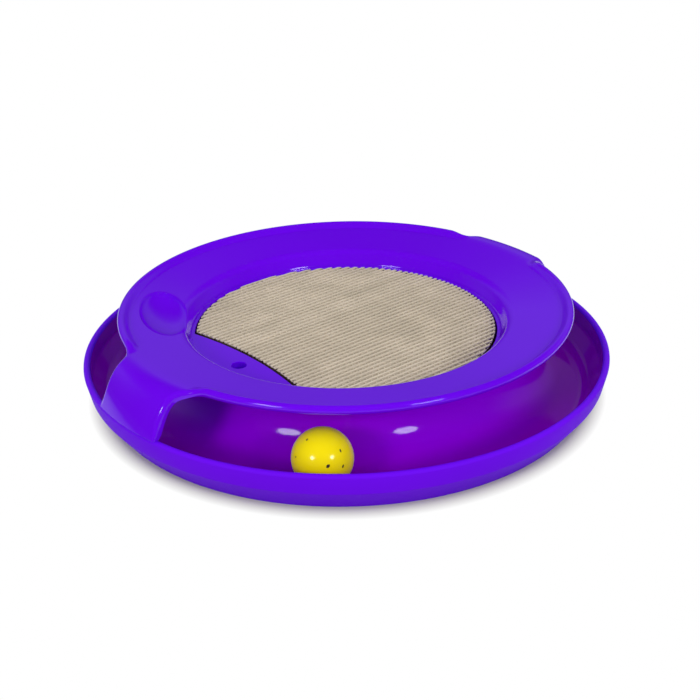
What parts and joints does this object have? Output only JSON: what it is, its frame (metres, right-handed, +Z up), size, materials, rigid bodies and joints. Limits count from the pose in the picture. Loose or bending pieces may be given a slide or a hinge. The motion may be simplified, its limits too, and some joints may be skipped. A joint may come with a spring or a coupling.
{
  "type": "cat scratcher toy",
  "caption": "Round ball-track toy for cats: a dished deck bridges an open track on arms and holds a corrugated cardboard scratch pad.",
  "frame": {"origin": "on the floor under the middle of the toy", "axes": "+Z up; the deck's arms lie along X, with the finger recess and the accessory socket toward -X"},
  "size_m": [0.38, 0.38, 0.064],
  "materials": {
    "tray_plastic": "glossy moulded purple",
    "deck_plastic": "glossy moulded purple",
    "cardboard": "raw corrugated edge",
    "ball_plastic": "satin yellow with dark flecks",
    "rattle_plastic": "plain"
  },
  "bodies": {
    "tray": {"base_tray": "tray_plastic"},
    "deck": {"top_deck": "deck_plastic"},
    "pad": {"pad_strip_01": "cardboard", "pad_strip_02": "cardboard", "pad_strip_03": "cardboard", "pad_strip_04": "cardboard", "pad_strip_05": "cardboard", "pad_strip_06": "cardboard", "pad_strip_07": "cardboard", "pad_strip_08": "cardboard", "pad_strip_09": "cardboard", "pad_strip_10": "cardboard", "pad_strip_11": "cardboard", "pad_strip_12": "cardboard", "pad_strip_13": "cardboard", "pad_strip_14": "cardboard", "pad_strip_15": "cardboard", "pad_strip_16": "cardboard", "pad_strip_17": "cardboard", "pad_strip_18": "cardboard", "pad_strip_19": "cardboard", "pad_strip_20": "cardboard", "pad_strip_21": "cardboard", "pad_strip_22": "cardboard", "pad_strip_23": "cardboard", "pad_strip_24": "cardboard", "pad_strip_25": "cardboard", "pad_strip_26": "cardboard", "pad_strip_27": "cardboard", "pad_strip_28": "cardboard", "pad_strip_29": "cardboard", "pad_strip_30": "cardboard", "pad_strip_31": "cardboard", "pad_strip_32": "cardboard", "pad_strip_33": "cardboard", "pad_strip_34": "cardboard", "pad_strip_35": "cardboard", "pad_strip_36": "cardboard", "pad_strip_37": "cardboard", "pad_strip_38": "cardboard", "pad_strip_39": "cardboard", "pad_strip_40": "cardboard", "pad_strip_41": "cardboard", "pad_strip_42": "cardboard", "pad_strip_43": "cardboard", "pad_strip_44": "cardboard", "pad_strip_45": "cardboard", "pad_strip_46": "cardboard", "pad_strip_47": "cardboard", "pad_strip_48": "cardboard", "pad_strip_49": "cardboard", "pad_strip_50": "cardboard"},
    "rattle": {"ball_rattle": "rattle_plastic"},
    "ball": {"ball_upper_half": "ball_plastic", "ball_lower_half": "ball_plastic"}
  },
  "joints": [
    {"name": "deck_lift", "type": "slide", "parent": "tray", "child": "deck", "axis": [0, 0, 1], "range_m": [0, 0.06]},
    {"name": "pad_lift", "type": "slide", "parent": "deck", "child": "pad", "axis": [0, 0, 1], "range_m": [0, 0.03]},
    {"name": "ball_orbit", "type": "hinge", "parent": "tray", "child": "rattle", "pos_m": [0, 0, 0], "axis": [0, 0, 1], "continuous": true},
    {"name": "ball_roll", "type": "hinge", "parent": "rattle", "child": "ball", "pos_m": [-0.11067, -0.10838, 0.0235], "axis": [-0.7145, -0.6997, 0], "continuous": true}
  ],
  "couplings": [
    {"joint": "ball_roll", "follows": "ball_orbit", "ratio": -7.745}
  ]
}
